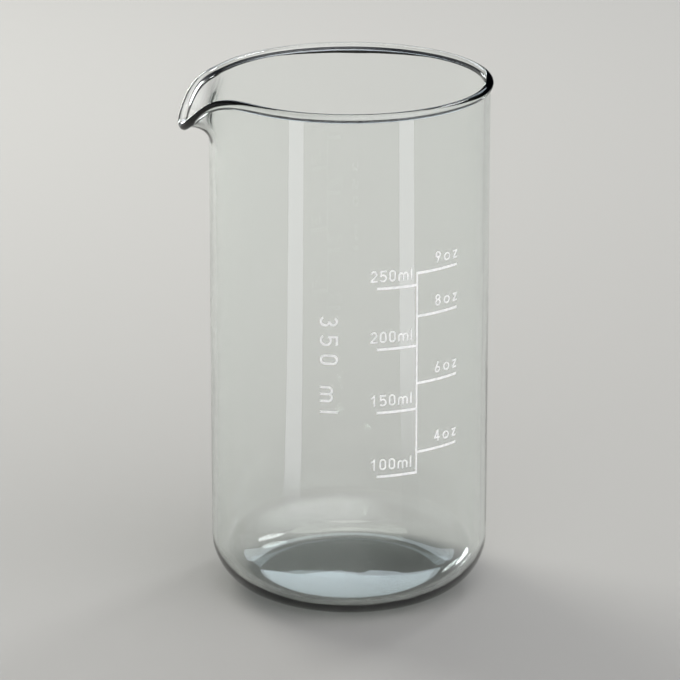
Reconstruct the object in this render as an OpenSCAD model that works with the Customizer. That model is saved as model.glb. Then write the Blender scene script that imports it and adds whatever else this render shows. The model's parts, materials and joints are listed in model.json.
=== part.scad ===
// Tall spouted glass beaker with a printed volume scale.
// Origin: centre of the flat base. +Z points up and the spout points along -X.

/* [Vessel] */
// Outside diameter of the straight wall
body_d = 66; // [62:0.5:72]
// Height from the base to the top of the rim bead
body_h = 125; // [118:1:145]
// Thickness of the side wall
wall_t = 1.5; // [1.3:0.1:1.8]
// Thickness of the floor at its centre
floor_t = 2.6; // [2.2:0.1:3.5]
// Outside radius of the heel, where the wall turns into the base
heel_r = 12.5; // [10:0.5:13]
// Inside radius between the floor and the wall
fillet_r = 10; // [9:0.5:12]
// Diameter of the fire-polished bead round the rim
bead_d = 2.1; // [1.9:0.1:2.8]
// How far the wall opens out between the foot of the bend and the rim
rim_flare = 0.05; // [0.02:0.01:0.3]

/* [Spout] */
// How far the middle of the lip stands out past the rest of the rim
spout_reach = 6.8; // [4:0.1:8]
// How far the middle of the lip lies below the rest of the rim
spout_drop = 8.4; // [5:0.1:9]
// Half of the angle of rim that the spout takes up
spout_half = 44; // [36:1:50]
// Height of the stretch of wall that bends into the spout
spout_depth = 15; // [14:0.5:20]
// Angle that the wall turns through at the middle of the lip
spout_lean = 98; // [80:1:105]

/* [Printed scale] */
// Thickness of the fired-on enamel
print_t = 0.1; // [0.05:0.05:0.2]
// Direction of the upright line of the scale, anticlockwise from +X
scale_angle = -73; // [-80:1:-60]
// Width of the upright line of the scale
spine_w = 0.4; // [0.3:0.05:0.6]
// Width of the level lines of the scale
tick_w = 0.55; // [0.4:0.05:0.8]
// Length of the millilitre lines
ml_tick_l = 9.6; // [8:0.1:12]
// Length of the ounce lines
oz_tick_l = 11.7; // [9:0.1:13]
// Height of the numerals on the scale
digit_h = 2.7; // [2.4:0.1:3]
// Width of the strokes of the numerals on the scale
digit_stroke = 0.34; // [0.25:0.01:0.45]
// Height of each numeral's foot above its line
label_rise = 1.6; // [1.2:0.1:2]
// Height of the 100 ml line
z_100_ml = 37.7; // [37:0.1:38.5]
// Height of the 150 ml line
z_150_ml = 53.4; // [52.5:0.1:54]
// Height of the 200 ml line
z_200_ml = 68.8; // [68:0.1:69.5]
// Height of the 250 ml line
z_250_ml = 83.5; // [83:0.1:84.5]
// Height of the 4 oz line
z_4_oz = 42.7; // [42:0.1:43.5]
// Height of the 6 oz line
z_6_oz = 59.6; // [59:0.1:60.5]
// Height of the 8 oz line
z_8_oz = 75.9; // [75:0.1:76.5]
// Height of the 9 oz line
z_9_oz = 86.3; // [86:0.1:87]

/* [Capacity mark] */
// Direction of the mark that reads down the wall, anticlockwise from +X
capacity_angle = -109.3; // [-120:0.1:-100]
// Height of the top of the mark
capacity_top = 77; // [70:1:85]
// Height of the mark's characters
capacity_h = 4.2; // [3:0.1:5]
// Width of the mark's strokes
capacity_stroke = 0.48; // [0.3:0.01:0.6]

/* [Hidden] */
$fn = 96;

body_r = body_d / 2;
bore_r = body_r - wall_t;
bead_r = bead_d / 2;
// The bead is flush with the inside of the wall and stands out on the outside
bead_centre_r = bore_r + rim_flare + bead_r;
bead_z = body_h - bead_r;
bend_z = body_h - spout_depth;
spout_angle = 180;

// Steps round the spout, up the bend and round the bead
spout_steps = 36;
bend_steps = 8;
bead_steps = 12;
// The spout runs this far into the plain rim and the wall, just inside their surfaces
spout_lap = 1.5;
spout_root = 0.5;
spout_skin = 0.05;
// Fullness of the spout in plan, of its drop and of its lean
reach_power = 2;
drop_power = 4.4;
lean_power = 1.5;
// Lengths of the bend's curve handles, as parts of its chord
foot_handle = 0.5;
lip_handle = 0.35;
// Angle round the bead at which the outer wall runs into it
bead_foot = -acos((wall_t - bead_r) / bead_r);

deg_per_mm = 360 / (PI * body_d);
// Width of a numeral and of a small m, as parts of the height
digit_width = 0.58;
m_width = 0.92;
// Height of small letters, as a part of the height of a numeral
small_height = 0.72;
ml_gap = 0.62;
oz_gap = 1.0;
// How far the millilitre labels start outside their lines
ml_overhang = 1.5;
capacity_gap = 2.2;

glass_colour = [0.86, 0.9, 0.88, 0.35];
enamel_colour = [0.95, 0.95, 0.93];

// ---- glass vessel ----

// Half section with a rounded heel: the outside of the vessel, or its hollow
module rounded_half(r, low, high, round_r) {
  open_r = r + rim_flare * (high - bend_z) / (bead_z - bend_z);
  polygon([
    [0, low], [r - round_r, low], [r - round_r, low + round_r], [r, low + round_r],
    [r, bend_z], [open_r, high], [0, high]
  ]);
  translate([r - round_r, low + round_r]) circle(r = round_r);
}

module vessel_section() {
  difference() {
    rounded_half(body_r, 0, bead_z, heel_r);
    rounded_half(bore_r, floor_t, bead_z + 1, fillet_r);
  }
  translate([bead_centre_r, bead_z]) circle(r = bead_r);
}

// The stretch of plain wall and rim that the spout takes the place of
module spout_gap() {
  far = 2 * body_r;
  translate([0, 0, bend_z]) rotate([0, 0, spout_angle]) linear_extrude(body_h)
    polygon([
      [0, 0], far * [cos(spout_half), -sin(spout_half)],
      [far, 0], far * [cos(spout_half), sin(spout_half)]
    ]);
}

module turned_vessel() {
  difference() {
    rotate_extrude() vessel_section();
    spout_gap();
  }
}

// 1 in the middle of the spout and 0 at its two sides and beyond them
function swell(a) = abs(a) < spout_half ? pow(cos(90 * a / spout_half), 2) : 0;
function lean(a) = spout_lean * pow(swell(a), lean_power);
function lip_centre(a) = [
  bead_centre_r + spout_reach * pow(swell(a), reach_power),
  bead_z - spout_drop * pow(swell(a), drop_power)
];

function bezier(p, t) =
  pow(1 - t, 3) * p[0] + 3 * t * pow(1 - t, 2) * p[1] + 3 * t * t * (1 - t) * p[2] + pow(t, 3) * p[3];
function bezier_slope(p, t) =
  pow(1 - t, 2) * (p[1] - p[0]) + 2 * t * (1 - t) * (p[2] - p[1]) + t * t * (p[3] - p[2]);
function outward(d) = [d[1], -d[0]] / norm(d);

// Handles of the curve that the middle of the wall follows, up and out into the lip
function bend(a) =
  let (
    along = [sin(lean(a)), cos(lean(a))],
    foot = [body_r - wall_t / 2, bend_z],
    tip = lip_centre(a) - (bead_r - wall_t / 2) * outward(along),
    chord = norm(tip - foot)
  )
  [foot, foot + [0, foot_handle * chord], tip - lip_handle * chord * along, tip];

// Half of the wall at one point of the bend, from its middle to its outside
function half_wall(p, t) = (wall_t / 2 - spout_skin) * outward(bezier_slope(p, t));

// Closed outline of the wall and bead at one angle across the spout
function lip_section(a) =
  let (
    p = bend(a),
    along = [sin(lean(a)), cos(lean(a))],
    out = outward(along),
    centre = lip_centre(a),
    root = [0, -spout_root]
  )
  concat(
    [p[0] + root + half_wall(p, 0)],
    [for (i = [1 : bend_steps - 1]) bezier(p, i / bend_steps) + half_wall(p, i / bend_steps)],
    [for (i = [0 : bead_steps])
      let (t = bead_foot + (180 - bead_foot) * i / bead_steps)
      centre + (bead_r - spout_skin) * (cos(t) * out + sin(t) * along)],
    [for (i = [bend_steps - 1 : -1 : 1]) bezier(p, i / bend_steps) - half_wall(p, i / bend_steps)],
    [p[0] + root - half_wall(p, 0)]
  );

module spout() {
  count = 2 * bend_steps + bead_steps + 1;
  points = [
    for (j = [0 : spout_steps])
      let (a = (spout_half + spout_lap) * (2 * j / spout_steps - 1))
      for (p = lip_section(a))
        [p[0] * cos(spout_angle + a), p[0] * sin(spout_angle + a), p[1]]
  ];
  sides = [
    for (j = [0 : spout_steps - 1])
      for (i = [0 : count - 1])
        let (k = (i + 1) % count, m = j * count, n = m + count)
        for (face = [[m + i, n + k, n + i], [m + i, m + k, n + k]])
          face
  ];
  // Each end is a strip of triangles between the outside and the inside of the wall
  last = count - 1;
  far = spout_steps * count;
  ends = [
    for (i = [0 : (count - 3) / 2])
      for (face = [[i, last - i, i + 1], [i + 1, last - i, last - i - 1]])
        each [face, [far + face[2], far + face[1], far + face[0]]]
  ];
  polyhedron(points = points, faces = concat(sides, ends));
}

module glass_vessel() {
  color(glass_colour) {
    turned_vessel();
    spout();
  }
}

// ---- strokes and characters, drawn flat with the foot of each at y = 0 ----

// A straight stroke with square ends
module bar(a, b, s) {
  d = b - a;
  translate(a) rotate(atan2(d[1], d[0])) translate([0, -s / 2]) square([norm(d), s]);
}

// Part of a ring, from one angle anticlockwise to another
module arc(c, r, from, to, s) {
  mid = (from + to) / 2;
  far = 4 * r;
  translate(c) intersection() {
    difference() {
      circle(r = r + s / 2);
      circle(r = r - s / 2);
    }
    polygon([
      [0, 0],
      far * [cos(from), sin(from)],
      far * [cos((from + mid) / 2), sin((from + mid) / 2)],
      far * [cos(mid), sin(mid)],
      far * [cos((mid + to) / 2), sin((mid + to) / 2)],
      far * [cos(to), sin(to)]
    ]);
  }
}

module ring(c, r, s) {
  translate(c) difference() {
    circle(r = r + s / 2);
    circle(r = r - s / 2);
  }
}

// One character of height h and stroke s, whose strokes' centre lines fill its width
module character(which, h, s) {
  w = digit_width * h - s;
  top = h - s;
  r = w / 2;
  small = small_height * h - s;
  // From the centre lines to the character's own corner
  corner = [-s / 2, -s / 2];
  translate(-corner) {
    if (which == "0") {
      arc([r, top - r], r, 0, 180, s);
      arc([r, r], r, 180, 360, s);
      bar([0, r], [0, top - r], s);
      bar([w, r], [w, top - r], s);
    }
    if (which == "1") {
      bar([0.6 * w, -s / 2], [0.6 * w, top + s / 2], s);
      bar([0.05 * w, 0.74 * top], [0.6 * w, 0.98 * top], 0.8 * s);
    }
    if (which == "2") {
      arc([r, top - r], r, -38, 165, s);
      // The slanted stroke starts inside the arc's end
      slant = [cos(-30), sin(-30)];
      polygon([
        corner, [w + s / 2, -s / 2], [w + s / 2, s / 2], [0.9 * s, s / 2],
        [r, top - r] + (r + 0.35 * s) * slant, [r, top - r] + (r - 0.35 * s) * slant,
        [-s / 2, s / 2]
      ]);
    }
    if (which == "3") {
      upper = 0.235 * top;
      lower = top / 2 - upper;
      arc([r, top - upper], upper, -90, 150, s);
      arc([r, lower], lower, -150, 90, s);
    }
    if (which == "4") {
      bar([0.75 * w, -s / 2], [0.75 * w, top + s / 2], s);
      bar([-s / 2, 0.3 * top], [w + s / 2, 0.3 * top], s);
      polygon([
        [-s / 2, 0.3 * top + s / 4], [0.55 * s, 0.3 * top + s / 4],
        [0.75 * w + s / 4, top - 0.4 * s], [0.75 * w + s / 4, top + s / 3], [0.75 * w - s, top + s / 3]
      ]);
    }
    if (which == "5") {
      bar([0.05 * w - s / 2, top], [0.95 * w + s / 2, top], s);
      bar([0.05 * w, 0.46 * top], [0.05 * w, top + s / 4], s);
      arc([0.46 * w, 0.31 * top], 0.31 * top, -145, 140, s);
    }
    if (which == "6") six(w, top, s);
    if (which == "8") {
      ring([r, top - 0.23 * top], 0.23 * top, s);
      ring([r, 0.27 * top], 0.27 * top, s);
    }
    if (which == "9") translate([w, top]) rotate(180) six(w, top, s);
    if (which == "m") {
      span = (m_width * h - s) / 2;
      for (x = [0, span, 2 * span]) bar([x, -s / 2], [x, small - span / 2], s);
      for (x = [0, span]) arc([x + span / 2, small - span / 2], span / 2, 0, 180, s);
    }
    if (which == "l") bar([0, -s / 2], [0, top + s / 2], s);
    if (which == "o") ring([small / 2, small / 2], small / 2, s);
    if (which == "z") {
      wide = 0.85 * w + s;
      tall = small + s;
      slope_w = 1.35 * s;
      translate(corner) polygon([
        [0, 0], [wide, 0], [wide, s], [slope_w, s], [wide, tall - s],
        [wide, tall], [0, tall], [0, tall - s], [wide - slope_w, tall - s], [0, s]
      ]);
    }
  }
}

module six(w, top, s) {
  r = w / 2;
  ring([r, r], r, s);
  bar([0.03 * w, 1.2 * r], [0.7 * w, top + s / 4], s);
}

function width_of(which, h, s) =
  which == "m" ? m_width * h :
  which == "l" ? s :
  which == "o" ? small_height * h :
  which == "z" ? 0.85 * (digit_width * h - s) + s :
  which == " " ? 0.2 * h :
  digit_width * h;

// Distance from the start of a word to the start of its character i
function advance(word, i, h, s, gap) =
  i == 0 ? 0 : advance(word, i - 1, h, s, gap) + width_of(word[i - 1], h, s) + gap;
function word_length(word, h, s, gap) =
  advance(word, len(word), h, s, gap) - gap;

// ---- enamel on the outside of the wall ----

// Keeps the part of its children that lies in the enamel's thickness
module on_wall(angle, half_span, low, high) {
  intersection() {
    children();
    rotate([0, 0, angle - half_span])
      rotate_extrude(angle = 2 * half_span) translate([body_r, low]) square([print_t, high - low]);
  }
}

// Stands a flat drawing up against the wall, facing out at the given angle
module facing_out(angle, z) {
  rotate([0, 0, angle + 90])
    translate([0, -(body_r - 1), z])
      rotate([90, 0, 0]) linear_extrude(2) children();
}

// A level word that starts x millimetres round the wall from the upright line
module label(word, x, z, gap) {
  color(enamel_colour)
  for (i = [0 : len(word) - 1]) {
    w = width_of(word[i], digit_h, digit_stroke);
    angle = scale_angle + deg_per_mm * (x + advance(word, i, digit_h, digit_stroke, gap) + w / 2);
    on_wall(angle, 6, z, z + 2 * digit_h)
      facing_out(angle, z + label_rise)
        translate([-w / 2, 0]) character(word[i], digit_h, digit_stroke);
  }
}

module ml_label(word, z) {
  label(word, -spine_w / 2 - ml_tick_l - ml_overhang, z, ml_gap);
}

module oz_label(word, z) {
  label(word, spine_w / 2 + oz_tick_l - word_length(word, digit_h, digit_stroke, oz_gap), z, oz_gap);
}

// A level line that starts x millimetres round the wall from the upright line
module tick(x, length, z) {
  color(enamel_colour)
  rotate([0, 0, scale_angle + deg_per_mm * x])
    rotate_extrude(angle = deg_per_mm * length)
      translate([body_r, z - tick_w / 2]) square([print_t, tick_w]);
}

module ml_tick(z) {
  tick(-spine_w / 2 - ml_tick_l, ml_tick_l, z);
}

module oz_tick(z) {
  tick(spine_w / 2, oz_tick_l, z);
}

module scale_spine() {
  color(enamel_colour)
  rotate([0, 0, scale_angle - deg_per_mm * spine_w / 2])
    rotate_extrude(angle = deg_per_mm * spine_w)
      translate([body_r, z_100_ml - tick_w / 2])
        square([print_t, z_9_oz - z_100_ml + tick_w]);
}

// The vessel's capacity, read from the top down
module capacity_mark() {
  word = "350 ml";
  color(enamel_colour)
  for (i = [0 : len(word) - 1]) {
    start = advance(word, i, capacity_h, capacity_stroke, capacity_gap);
    if (word[i] != " ")
      on_wall(capacity_angle, 8, capacity_top - start - 2 * capacity_h, capacity_top - start + 1)
        facing_out(capacity_angle, capacity_top - start)
          rotate(-90) translate([0, -capacity_h / 2]) character(word[i], capacity_h, capacity_stroke);
  }
}

module tick_100_ml() { ml_tick(z_100_ml); }
module tick_150_ml() { ml_tick(z_150_ml); }
module tick_200_ml() { ml_tick(z_200_ml); }
module tick_250_ml() { ml_tick(z_250_ml); }
module tick_4_oz() { oz_tick(z_4_oz); }
module tick_6_oz() { oz_tick(z_6_oz); }
module tick_8_oz() { oz_tick(z_8_oz); }
module tick_9_oz() { oz_tick(z_9_oz); }
module label_100_ml() { ml_label("100ml", z_100_ml); }
module label_150_ml() { ml_label("150ml", z_150_ml); }
module label_200_ml() { ml_label("200ml", z_200_ml); }
module label_250_ml() { ml_label("250ml", z_250_ml); }
module label_4_oz() { oz_label("4oz", z_4_oz); }
module label_6_oz() { oz_label("6oz", z_6_oz); }
module label_8_oz() { oz_label("8oz", z_8_oz); }
module label_9_oz() { oz_label("9oz", z_9_oz); }

glass_vessel();
scale_spine();
tick_100_ml();
tick_150_ml();
tick_200_ml();
tick_250_ml();
tick_4_oz();
tick_6_oz();
tick_8_oz();
tick_9_oz();
label_100_ml();
label_150_ml();
label_200_ml();
label_250_ml();
label_4_oz();
label_6_oz();
label_8_oz();
label_9_oz();
capacity_mark();
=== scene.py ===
"""Looks for a tall spouted glass beaker with a printed volume scale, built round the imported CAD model.

Lengths are in millimetres, except where a comment says metres, and MM turns them into Blender's metres.
Azimuths of lights are measured from the camera's own: 0 is its own side and 180 is behind the vessel.
"""
import json
import math

import bpy
import numpy as np
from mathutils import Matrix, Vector


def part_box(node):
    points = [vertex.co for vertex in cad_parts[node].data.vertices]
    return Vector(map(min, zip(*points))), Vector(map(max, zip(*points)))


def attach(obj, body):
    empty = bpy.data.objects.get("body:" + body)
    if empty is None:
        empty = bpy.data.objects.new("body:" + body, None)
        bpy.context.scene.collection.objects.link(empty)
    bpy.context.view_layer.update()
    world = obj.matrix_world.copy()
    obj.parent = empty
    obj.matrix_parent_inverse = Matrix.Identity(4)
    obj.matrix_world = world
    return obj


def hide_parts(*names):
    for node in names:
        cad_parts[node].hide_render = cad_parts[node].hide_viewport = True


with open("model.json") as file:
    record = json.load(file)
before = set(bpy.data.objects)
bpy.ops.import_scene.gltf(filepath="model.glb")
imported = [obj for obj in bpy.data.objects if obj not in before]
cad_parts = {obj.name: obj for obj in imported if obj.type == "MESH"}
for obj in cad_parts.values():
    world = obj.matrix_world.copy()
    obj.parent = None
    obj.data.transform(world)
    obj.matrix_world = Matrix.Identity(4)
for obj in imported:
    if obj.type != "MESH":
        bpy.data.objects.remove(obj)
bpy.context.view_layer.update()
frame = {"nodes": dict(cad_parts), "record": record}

MM = 0.001

# ---- sizes, from the frame ----

MOUNTS = {mount["name"]: mount for mount in frame["record"]["mounts"]}
OUTER_R = MOUNTS["outer_wall"]["dims"]["r_mm"]
BORE_R = MOUNTS["inner_wall"]["dims"]["r_mm"]
VESSEL_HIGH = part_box("glass_vessel")[1]
HEIGHT = VESSEL_HIGH.z / MM
RIM_R = VESSEL_HIGH.y / MM

# ---- the vessel's own shape ----

# Enamel sits on the wall, so the glass stops this far short of it and the two surfaces never coincide
PRINT_GAP = 0.02
WALL = OUTER_R - BORE_R
# How far the wall opens out between the foot of the bend and the rim
RIM_FLARE = 0.05
BEAD_R = (RIM_R - BORE_R - RIM_FLARE) / 2
BEAD_CENTRE_R = BORE_R + RIM_FLARE + BEAD_R
BEAD_Z = HEIGHT - BEAD_R
FLOOR = 2.6
HEEL_R = 12.5
FILLET_R = 10.0
# How far the underside and the floor rise in the middle, so that the vessel stands on a ring
KICK = 0.45
FLOOR_DOME = 0.35
# The wall is straight up to here, and bends into the spout above
BEND_Z = 110.0

# Half of the angle of rim that the spout takes up, and the reach, drop and lean of its lip in the middle
SPOUT_HALF = 44.0
SPOUT_REACH = 6.75
SPOUT_DROP = 8.4
SPOUT_LEAN = 98.0
# Fullness of the spout in plan, of its drop and of its lean
REACH_POWER = 2.0
DROP_POWER = 4.4
LEAN_POWER = 1.5
# Lengths of the bend's two Bezier handles, as shares of its chord
FOOT_HANDLE = 0.5
LIP_HANDLE = 0.35
# How much of the outer face is cut away at the bead, as a multiple of what the bead would cover
CUT_BACK = 1.1

# Steps round the vessel, and along each stretch of its outline
AROUND = 348
DISC_STEPS = 23
HEEL_STEPS = 32
WALL_STEPS = 49
BEND_STEPS = 24
BEAD_STEPS = 32
FILLET_STEPS = 28

# Unevenness of the blown inner face, which dies away towards the middle of the floor from this radius
WAVE = 0.04
CALM_R = 12
# The waves start this deep under the wall's outside, and this far below the floor's surface
SKIN = 0.3
FLOOR_MARGIN = 0.1


def swell(angle):
    """1 in the middle of the spout and 0 at its sides and beyond; angle in degrees from its middle."""
    return math.cos(math.radians(90 * angle / SPOUT_HALF)) ** 2 if abs(angle) < SPOUT_HALF else 0.0


def bezier(p, t):
    """A point on the cubic curve through p[0] and p[3], with handles p[1] and p[2]."""
    return (1 - t) ** 3 * p[0] + 3 * t * (1 - t) ** 2 * p[1] + 3 * t * t * (1 - t) * p[2] + t ** 3 * p[3]


def bezier_slope(p, t):
    """The curve's direction, a third of its derivative."""
    return (1 - t) ** 2 * (p[1] - p[0]) + 2 * t * (1 - t) * (p[2] - p[1]) + t * t * (p[3] - p[2])


def outward(along):
    """Unit vector to the right of a direction in the (radius, height) plane."""
    return np.array((along[1], -along[0])) / np.hypot(*along)


def arc(centre, radius, start, end, steps):
    """Points on an arc from one angle to another, both ends included."""
    angles = np.radians(np.linspace(start, end, steps + 1))
    return np.stack((centre[0] + radius * np.cos(angles), centre[1] + radius * np.sin(angles)), 1)


def lip_section(angle):
    """The wall and bead above BEND_Z at one angle from the middle of the spout, outside first."""
    w = swell(angle)
    lean = math.radians(SPOUT_LEAN * w ** LEAN_POWER)
    along = np.array((math.sin(lean), math.cos(lean)))
    side = outward(along)
    reach = SPOUT_REACH * w ** REACH_POWER
    drop = SPOUT_DROP * w ** DROP_POWER
    centre = np.array((BEAD_CENTRE_R + reach, BEAD_Z - drop))
    foot = np.array((OUTER_R - WALL / 2, BEND_Z))
    tip = centre - (BEAD_R - WALL / 2) * side
    chord = np.hypot(*(tip - foot))
    curve = (foot, foot + np.array((0, FOOT_HANDLE * chord)), tip - LIP_HANDLE * chord * along, tip)
    bead_foot = -math.acos((WALL - BEAD_R) / BEAD_R)
    # The outer face stops just short of the bead, and the inner face runs on to the bead's own side
    cut = CUT_BACK * -math.sin(bead_foot) * BEAD_R / (3 * LIP_HANDLE * chord)

    def face(side_of_wall, steps):
        offset = side_of_wall * WALL / 2
        return [bezier(curve, t) + offset * outward(bezier_slope(curve, t)) for t in steps]

    outside = face(1, np.linspace(0, 1 - cut, BEND_STEPS))
    inside = face(-1, np.linspace(1, 0, BEND_STEPS + 1)[1:])
    turns = np.linspace(bead_foot, math.pi, BEAD_STEPS + 1)
    bead = [centre + BEAD_R * (math.cos(t) * side + math.sin(t) * along) for t in turns]
    return outside, bead, inside


def section(angle):
    """The whole outline at one angle, from the middle of the base round to the middle of the floor."""
    flat = OUTER_R - HEEL_R
    base_r = np.linspace(0, flat, DISC_STEPS + 1)[:-1]
    base = np.stack((base_r, KICK * (1 - (base_r / flat) ** 2) ** 2), 1)
    heel = arc((flat, HEEL_R), HEEL_R, -90, 0, HEEL_STEPS)
    wall_z = np.linspace(HEEL_R, BEND_Z, WALL_STEPS + 1)[1:-1]
    outer_wall = np.stack((np.full_like(wall_z, OUTER_R), wall_z), 1)
    outside, bead, inside = lip_section(angle)
    inner_z = np.linspace(BEND_Z, FLOOR + FILLET_R, WALL_STEPS + 1)[1:-1]
    inner_wall = np.stack((np.full_like(inner_z, BORE_R), inner_z), 1)
    floor_flat = BORE_R - FILLET_R
    fillet = arc((floor_flat, FLOOR + FILLET_R), FILLET_R, 0, -90, FILLET_STEPS)
    floor_r = np.linspace(floor_flat, 0, DISC_STEPS + 1)[1:]
    floor = np.stack((floor_r, FLOOR + FLOOR_DOME * (1 - (floor_r / floor_flat) ** 2) ** 2), 1)
    return np.vstack((base, heel, outer_wall, outside, bead, inside, inner_wall, fillet, floor))


def polar_mesh(name, sections, angles):
    """A closed mesh from one outline per angle; each outline starts and ends on the axis."""
    radius, height = sections[:, 1:-1, 0], sections[:, 1:-1, 1]
    cos, sin = np.cos(angles)[:, None], np.sin(angles)[:, None]
    points = np.stack((radius * cos, radius * sin, height), -1).reshape(-1, 3)
    poles = ((0, 0, sections[0, 0, 1]), (0, 0, sections[0, -1, 1]))
    verts = np.vstack((points, poles)) * MM
    bottom, top = len(points), len(points) + 1
    step = radius.shape[1]
    faces = []
    for j in range(len(angles)):
        a, b = j * step, (j + 1) % len(angles) * step
        faces += [(a + i, b + i, b + i + 1, a + i + 1) for i in range(step - 1)]
        faces += [(bottom, b, a), (top, a + step - 1, b + step - 1)]
    mesh = bpy.data.meshes.new(name)
    mesh.from_pydata(verts.tolist(), [], faces)
    mesh.validate()
    mesh.shade_smooth()
    piece = bpy.data.objects.new(name, mesh)
    bpy.context.scene.collection.objects.link(piece)
    return piece


def waves(around, height):
    """Three crossing waves, from -1 to 1 in all; around in radians, height in millimetres."""
    return (
        0.5 * np.sin(2 * around + 0.9 + height / 31)
        + 0.3 * np.sin(5 * around - height / 19)
        + 0.2 * np.sin(3 * around + 2.1) * np.sin(height / 11 + 0.6)
    )


def build_vessel():
    angles = np.linspace(-math.pi, math.pi, AROUND, endpoint=False)
    sections = np.array([section(math.degrees(a)) for a in angles])
    radius, height = sections[:, :, 0], sections[:, :, 1]
    # The wall's inner face and its floor are the wavy ones; the mould leaves the outside true
    inner = np.clip((OUTER_R - SKIN - radius) / WALL, 0, 1) * (height > FLOOR - FLOOR_MARGIN)
    uneven = WAVE * waves(angles[:, None], height) * inner * np.clip(radius / CALM_R, 0, 1)
    on_wall = height > FLOOR + FILLET_R
    radius -= uneven * on_wall
    height += uneven * ~on_wall
    radius *= (OUTER_R - PRINT_GAP) / OUTER_R
    # The spout points along -X
    return polar_mesh("blown_glass_vessel", sections, angles + math.pi)


# ---- materials ----

GLASS_IOR = 1.474
# Each colour fades per metre of glass by its shortfall from 1 here times the density, red the fastest
GLASS_TINT = (0.45, 0.85, 0.62, 1)
GLASS_DENSITY = 26.0
# Draw lines of a blown wall: 65 a metre round it, three times as long up it, and this high
DRAW_LINES = 65
DRAW_STRETCH = (1, 1, 0.33)
DRAW_HEIGHT = 0.05

ENAMEL_THIN = (0.80, 0.81, 0.79)
ENAMEL_THICK = (0.95, 0.95, 0.92)
# Uneven cover about a millimetre across, and a fired grain about a sixth of a millimetre across
COVER = 1100
GRAIN = 6000
GRAIN_HEIGHT = 0.02
# The parts of the two noises that are used, and the roughness that the grain goes between
COVER_RANGE = (0.3, 0.65)
GRAIN_RANGE = (0.3, 0.7)
ROUGHNESS_RANGE = (0.3, 0.55)


def new_material(name):
    material = bpy.data.materials.new(name)
    material.use_nodes = True
    nodes = material.node_tree.nodes
    return material, nodes, material.node_tree.links, nodes["Principled BSDF"]


def noise(nodes, links, scale, detail, stretch=(1, 1, 1)):
    """A noise texture in object space, from 0 to 1; scale is in features per metre."""
    place = nodes.new("ShaderNodeTexCoord")
    squeeze = nodes.new("ShaderNodeMapping")
    squeeze.inputs["Scale"].default_value = stretch
    texture = nodes.new("ShaderNodeTexNoise")
    texture.inputs["Scale"].default_value = scale
    texture.inputs["Detail"].default_value = detail
    links.new(place.outputs["Object"], squeeze.inputs["Vector"])
    links.new(squeeze.outputs["Vector"], texture.inputs["Vector"])
    return texture.outputs["Fac"]


def spread(nodes, links, source, low, high, to_low=0.0, to_high=1.0):
    """Stretches source's part from low to high smoothly over to_low to to_high, and holds it beyond."""
    scale = nodes.new("ShaderNodeMapRange")
    scale.interpolation_type = "SMOOTHSTEP"
    scale.inputs["From Min"].default_value = low
    scale.inputs["From Max"].default_value = high
    scale.inputs["To Min"].default_value = to_low
    scale.inputs["To Max"].default_value = to_high
    links.new(source, scale.inputs["Value"])
    return scale.outputs["Result"]


def mix(nodes, links, factor, first, second):
    """A colour between first and second; each is a fixed colour or an output."""
    blend = nodes.new("ShaderNodeMix")
    blend.data_type = "RGBA"
    links.new(factor, blend.inputs["Factor"])
    # A Mix node has one pair of A and B sockets per data type, and these are its colour pair
    for socket, colour in zip((blend.inputs[6], blend.inputs[7]), (first, second)):
        if isinstance(colour, tuple):
            socket.default_value = (*colour, 1)
        else:
            links.new(colour, socket)
    return blend.outputs[2]


def bump(nodes, links, shader, source, height):
    """Raises the surface by up to height millimetres where source is 1."""
    relief = nodes.new("ShaderNodeBump")
    relief.inputs["Distance"].default_value = height * MM
    links.new(source, relief.inputs["Height"])
    links.new(relief.outputs["Normal"], shader.inputs["Normal"])


def glass_material():
    material, nodes, links, shader = new_material("clear_borosilicate")
    shader.inputs["Base Color"].default_value = (1, 1, 1, 1)
    shader.inputs["Roughness"].default_value = 0.0
    shader.inputs["IOR"].default_value = GLASS_IOR
    shader.inputs["Transmission Weight"].default_value = 1.0
    bump(nodes, links, shader, noise(nodes, links, DRAW_LINES, 1.5, DRAW_STRETCH), DRAW_HEIGHT)
    tint = nodes.new("ShaderNodeVolumeAbsorption")
    tint.inputs["Color"].default_value = GLASS_TINT
    tint.inputs["Density"].default_value = GLASS_DENSITY
    links.new(tint.outputs["Volume"], nodes["Material Output"].inputs["Volume"])
    return material


def enamel_material():
    """Screen-printed white enamel, uneven in cover and slightly rough from firing."""
    material, nodes, links, shader = new_material("white_enamel")
    cover = noise(nodes, links, COVER, 3)
    grain = noise(nodes, links, GRAIN, 2)
    thickness = spread(nodes, links, cover, *COVER_RANGE)
    links.new(mix(nodes, links, thickness, ENAMEL_THIN, ENAMEL_THICK), shader.inputs["Base Color"])
    links.new(spread(nodes, links, grain, *GRAIN_RANGE, *ROUGHNESS_RANGE), shader.inputs["Roughness"])
    bump(nodes, links, shader, grain, GRAIN_HEIGHT)
    return material


# ---- camera ----

CAMERA_AZIMUTH = -11.0
CAMERA_ELEVATION = 18.306
CAMERA_DISTANCE = 1072.4
# Where the camera aims: this far to its right of the axis, and this high
AIM_SIDE = -2.205
AIM_HEIGHT = 60.49
LENS = 238.9
SENSOR = 36.0
# The nearest and furthest things that it draws, in metres
CLIP_START = 0.05
CLIP_END = 50.0
UP = Vector((0, 0, 1))


def direction(azimuth, elevation):
    """Unit vector towards an azimuth and elevation in degrees; azimuth 0 is -Y and 90 is +X."""
    a, e = math.radians(azimuth), math.radians(elevation)
    return Vector((math.sin(a) * math.cos(e), -math.cos(a) * math.cos(e), math.sin(e)))


# Level directions away from the camera and to its right
BACKWARD = direction(CAMERA_AZIMUTH + 180, 0)
RIGHT = direction(CAMERA_AZIMUTH + 90, 0)


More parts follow.
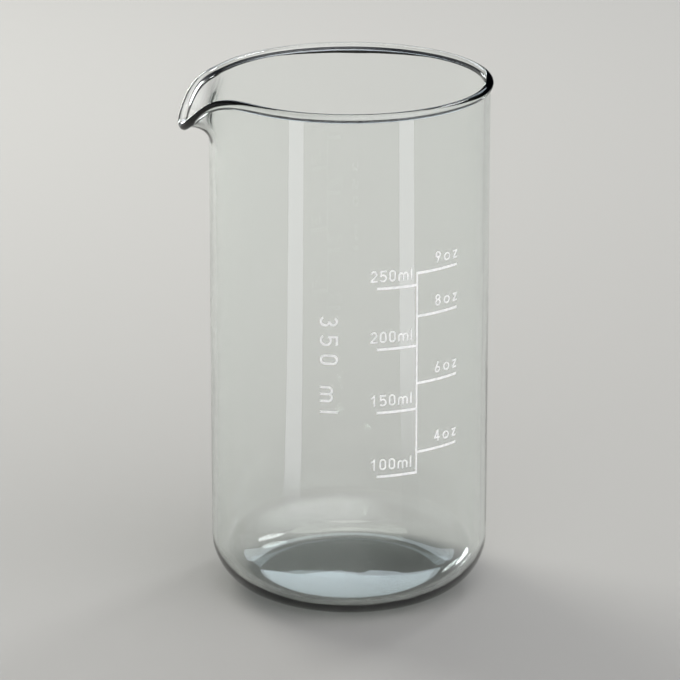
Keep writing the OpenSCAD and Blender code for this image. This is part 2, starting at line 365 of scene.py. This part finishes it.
def add_camera():
    data = bpy.data.cameras.new("camera")
    data.lens = LENS
    data.sensor_width = SENSOR
    data.clip_start = CLIP_START
    data.clip_end = CLIP_END
    camera = bpy.data.objects.new("camera", data)
    bpy.context.scene.collection.objects.link(camera)
    towards = direction(CAMERA_AZIMUTH, CAMERA_ELEVATION)
    camera.location = (RIGHT * AIM_SIDE + UP * AIM_HEIGHT + towards * CAMERA_DISTANCE) * MM
    camera.rotation_euler = towards.to_track_quat("Z", "Y").to_euler()
    bpy.context.scene.camera = camera


# ---- floor and sky ----

# Half of the floor's side, and its height, which is a hair under the vessel's foot
FLOOR_HALF = 6000
FLOOR_LEVEL = -0.02
FLOOR_COLOUR = (0.29, 0.287, 0.272)
# The floor falls into shade between these distances behind the vessel, in metres
SHADE_STARTS = 0.8
SHADE_ENDS = 1.3
SHADE_COLOUR = (0.02, 0.022, 0.03)

FRONT_HORIZON = (0.5, 0.51, 0.54)
BACK_HORIZON = (0.0015, 0.002, 0.004)
ZENITH = (0.085, 0.088, 0.095)
FRONT_GLOW = (2.6, 2.58, 2.7)
# The middle of the glow in front
GLOW_AZIMUTH = 35
GLOW_ELEVATION = 38
# Where one part of the sky blends into the next, as how far a unit direction reaches: backward for the
# horizon, up for the zenith, towards the glow's middle for the glow, and up again for the glow's lower edge
HORIZON_BLEND = (-0.1, 0.6)
ZENITH_BLEND = (0.28, 0.5)
GLOW_BLEND = (0.4, 1.0)
GLOW_EDGE = (0.05, 0.4)


def add_plane(name, corners):
    """A flat four-cornered piece; corners in millimetres."""
    mesh = bpy.data.meshes.new(name)
    mesh.from_pydata([tuple(corner * MM) for corner in corners], [], [(0, 1, 2, 3)])
    plane = bpy.data.objects.new(name, mesh)
    bpy.context.scene.collection.objects.link(plane)
    return plane


def along(nodes, links, output, towards):
    """How far a position or a direction reaches towards a fixed direction."""
    place = nodes.new("ShaderNodeTexCoord")
    product = nodes.new("ShaderNodeVectorMath")
    product.operation = "DOT_PRODUCT"
    product.inputs[1].default_value = towards
    links.new(place.outputs[output], product.inputs[0])
    return product.outputs["Value"]


def add_floor():
    """A plain pale floor that falls into shade well behind the vessel, which helps the rim's dark lines."""
    sides = ((-1, -1), (1, -1), (1, 1), (-1, 1))
    floor = add_plane("floor", [Vector((x * FLOOR_HALF, y * FLOOR_HALF, 0)) for x, y in sides])
    material, nodes, links, shader = new_material("pale_floor")
    shade = spread(nodes, links, along(nodes, links, "Object", BACKWARD), SHADE_STARTS, SHADE_ENDS)
    links.new(mix(nodes, links, shade, FLOOR_COLOUR, SHADE_COLOUR), shader.inputs["Base Color"])
    shader.inputs["Roughness"].default_value = 1.0
    shader.inputs["Specular IOR Level"].default_value = 0.0
    floor.data.materials.append(material)
    floor.location.z = FLOOR_LEVEL * MM


def add_sky():
    """A dim sky over a horizon that is grey in front and almost black behind, with a wide glow in front."""
    world = bpy.data.worlds.new("studio")
    bpy.context.scene.world = world
    world.use_nodes = True
    nodes, links = world.node_tree.nodes, world.node_tree.links

    def towards(aim, blend):
        return spread(nodes, links, along(nodes, links, "Generated", aim), *blend)

    horizon = mix(nodes, links, towards(BACKWARD, HORIZON_BLEND), FRONT_HORIZON, BACK_HORIZON)
    sky = mix(nodes, links, towards(UP, ZENITH_BLEND), horizon, ZENITH)
    middle = direction(CAMERA_AZIMUTH + GLOW_AZIMUTH, GLOW_ELEVATION)
    glow = nodes.new("ShaderNodeMath")
    glow.operation = "MULTIPLY"
    links.new(towards(middle, GLOW_BLEND), glow.inputs[0])
    links.new(towards(UP, GLOW_EDGE), glow.inputs[1])
    colour = mix(nodes, links, glow.outputs["Value"], sky, FRONT_GLOW)
    links.new(colour, nodes["Background"].inputs["Color"])


# ---- lights ----

NEUTRAL = (1.0, 1.0, 0.97)
WARM = (1.0, 0.985, 0.95)
COOL = (0.95, 0.97, 1.0)
SKY_BLUE = (0.80, 0.90, 1.0)
LILAC = (0.93, 0.92, 1.0)


def add_panel(name, azimuth, elevation, distance, size, power, colour):
    """An oval soft light that faces the vessel's middle; distance and size in metres, power in watts."""
    data = bpy.data.lights.new(name, "AREA")
    data.shape = "ELLIPSE"
    data.size, data.size_y = size
    data.energy = power
    data.color = colour
    light = bpy.data.objects.new(name, data)
    bpy.context.scene.collection.objects.link(light)
    away = direction(CAMERA_AZIMUTH + azimuth, elevation)
    light.location = away * distance + UP * AIM_HEIGHT * MM
    light.rotation_euler = away.to_track_quat("Z", "Y").to_euler()
    light.visible_camera = False
    return light


def add_card(name, corners, colour):
    """A flat card seen only as a reflection or through glass; it neither lights nor shades the floor."""
    card = add_plane(name, corners)
    material = bpy.data.materials.new(name)
    material.use_nodes = True
    nodes, links = material.node_tree.nodes, material.node_tree.links
    nodes.remove(nodes["Principled BSDF"])
    emission = nodes.new("ShaderNodeEmission")
    emission.inputs["Color"].default_value = (*colour, 1)
    links.new(emission.outputs["Emission"], nodes["Material Output"].inputs["Surface"])
    card.data.materials.append(material)
    card.visible_camera = False
    card.visible_diffuse = False
    card.visible_shadow = False
    return card, nodes, links, emission


def add_side_glow(name, azimuth, fade):
    """A slanted bright card; an upright wall seen from above can mirror only what lies low beside it.

    It widens with distance, and fades out over its lowest part, which is given as a share of its height.
    """
    near, far = 95, 250
    low, high = 1, 62
    near_half, far_half = 11, 26
    strength = 3.0
    out = direction(CAMERA_AZIMUTH + azimuth, 0)
    side = direction(CAMERA_AZIMUTH + azimuth + 90, 0)
    bottom, top = out * near + UP * low, out * far + UP * high
    low_corners = (bottom - side * near_half, bottom + side * near_half)
    high_corners = (top + side * far_half, top - side * far_half)
    card, nodes, links, emission = add_card(name, low_corners + high_corners, LILAC)
    height = along(nodes, links, "Generated", UP)
    links.new(spread(nodes, links, height, 0.0, fade, 0.0, strength), emission.inputs["Strength"])
    card.visible_transmission = False


def add_rim_flag():
    """A black strip that lies on the floor behind the vessel, which draws the dark lines in its rim."""
    near, far = 500, 1300
    half = 500
    lift = 0.3
    edges = ((near, -half), (near, half), (far, half), (far, -half))
    corners = [BACKWARD * reach + RIGHT * across + UP * lift for reach, across in edges]
    add_card("rim_flag", corners, (0, 0, 0))


def add_light():
    add_panel("overhead_softbox", 180, 72, 1.15, (0.9, 0.9), 5, WARM)
    add_panel("back_sky", 180, 29, 2.2, (2.0, 0.6), 6.5, SKY_BLUE)
    back_window = add_panel("back_window", 198, 1.4, 0.7, (0.2, 0.15), 1.6, COOL)
    back_window.visible_diffuse = False
    add_panel("side_window", 142, 46, 1.8, (0.36, 0.5), 8, COOL)
    # This one lights the floor and the enamel, and the glass neither mirrors it nor shows it
    floor_wash = add_panel("floor_wash", 222, 35, 0.85, (0.5, 0.5), 6.5, NEUTRAL)
    floor_wash.visible_glossy = False
    floor_wash.visible_transmission = False
    add_side_glow("right_glow", 44, 0.5)
    add_side_glow("left_glow", -41, 0.15)
    add_rim_flag()


# ---- put together ----

vessel = build_vessel()
vessel.data.materials.append(glass_material())
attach(vessel, "root")
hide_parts("glass_vessel")

enamel = enamel_material()
for name, node in frame["nodes"].items():
    if name != "glass_vessel":
        node.data.materials.clear()
        node.data.materials.append(enamel)

add_camera()
add_floor()
add_sky()
add_light()
bpy.context.scene.view_settings.view_transform = "Standard"
